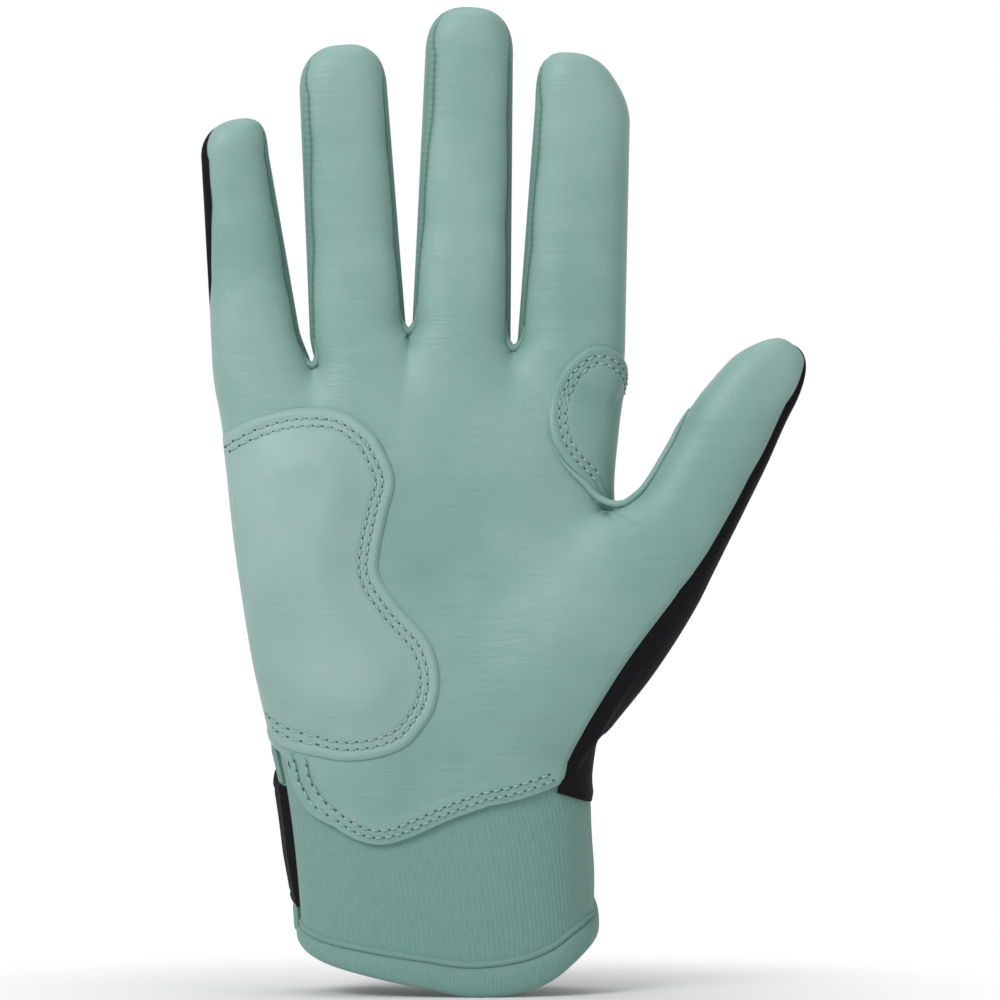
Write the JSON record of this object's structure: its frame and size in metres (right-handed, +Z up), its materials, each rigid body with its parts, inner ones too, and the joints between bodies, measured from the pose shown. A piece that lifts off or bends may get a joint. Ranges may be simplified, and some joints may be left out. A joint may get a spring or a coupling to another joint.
{
  "type": "batting glove",
  "caption": "Right-hand batting glove, worn full: leather palm with padded heel patch and web patch, dark back, knit cuff with bound hem, folding fingers and a peel-open wrist strap.",
  "frame": {"origin": "centre of the wrist opening, in the plane of the hem", "axes": "+Z up along the fingers, -Y out of the palm, +X towards the thumb"},
  "size_m": [0.1466, 0.0528, 0.2415],
  "materials": {
    "palm_leather": "soft matte leather",
    "back_fabric": "matte stretch fabric",
    "cuff_knit": "fine ribbed knit",
    "hem_binding": "rolled ribbed binding",
    "strap_webbing": "matte woven strap",
    "hook_and_loop": "hook and loop pile",
    "pad_foam": "closed foam, hidden"
  },
  "bodies": {
    "hand": {"palm_leather": "palm_leather", "back_panel": "back_fabric", "fourchette_saddle_little_ring": "palm_leather", "fourchette_saddle_ring_middle": "palm_leather", "fourchette_saddle_middle_index": "palm_leather", "heel_pad_cover": "palm_leather", "heel_pad_foam": "pad_foam", "thumb_web_patch": "palm_leather", "cuff_front": "cuff_knit", "cuff_back_ulnar": "cuff_knit", "cuff_back_radial": "cuff_knit", "hem_binding": "hem_binding", "cuff_loop_patch": "hook_and_loop"},
    "index_finger": {"index_palm_side": "palm_leather", "index_back": "back_fabric", "index_fourchette_ulnar": "palm_leather"},
    "middle_finger": {"middle_palm_side": "palm_leather", "middle_back": "back_fabric", "middle_fourchette_ulnar": "palm_leather", "middle_fourchette_radial": "palm_leather"},
    "ring_finger": {"ring_palm_side": "palm_leather", "ring_back": "back_fabric", "ring_fourchette_ulnar": "palm_leather", "ring_fourchette_radial": "palm_leather"},
    "little_finger": {"little_palm_side": "palm_leather", "little_back": "back_fabric", "little_fourchette_radial": "palm_leather"},
    "thumb": {"thumb_palm_side": "palm_leather", "thumb_back": "back_fabric"},
    "strap": {"wrist_strap": "strap_webbing", "strap_hook_patch": "hook_and_loop"}
  },
  "joints": [
    {"name": "little_fold", "type": "hinge", "parent": "hand", "child": "little_finger", "pos_m": [-0.04658, -0.00919, 0.15131], "axis": [0.9921, 0, 0.1253], "range_deg": [0, 70], "stiffness_Nm_per_rad": 0.02},
    {"name": "ring_fold", "type": "hinge", "parent": "hand", "child": "ring_finger", "pos_m": [-0.02214, -0.00913, 0.15528], "axis": [0.998, 0, 0.0628], "range_deg": [0, 70], "stiffness_Nm_per_rad": 0.02},
    {"name": "middle_fold", "type": "hinge", "parent": "hand", "child": "middle_finger", "pos_m": [0.00328, -0.00911, 0.15724], "axis": [0.9996, 0, -0.0297], "range_deg": [0, 70], "stiffness_Nm_per_rad": 0.02},
    {"name": "index_fold", "type": "hinge", "parent": "hand", "child": "index_finger", "pos_m": [0.03041, -0.00913, 0.15528], "axis": [0.9984, 0, -0.0558], "range_deg": [0, 70], "stiffness_Nm_per_rad": 0.02},
    {"name": "thumb_fold", "type": "hinge", "parent": "hand", "child": "thumb", "pos_m": [0.05746, -0.01311, 0.10915], "axis": [0.8171, 0, -0.5764], "range_deg": [0, 45], "stiffness_Nm_per_rad": 0.02},
    {"name": "strap_peel", "type": "hinge", "parent": "hand", "child": "strap", "pos_m": [-0.04157, -0.00555, 0.02515], "axis": [-0.1451, -0.1687, 0.9749], "range_deg": [0, 140]}
  ]
}
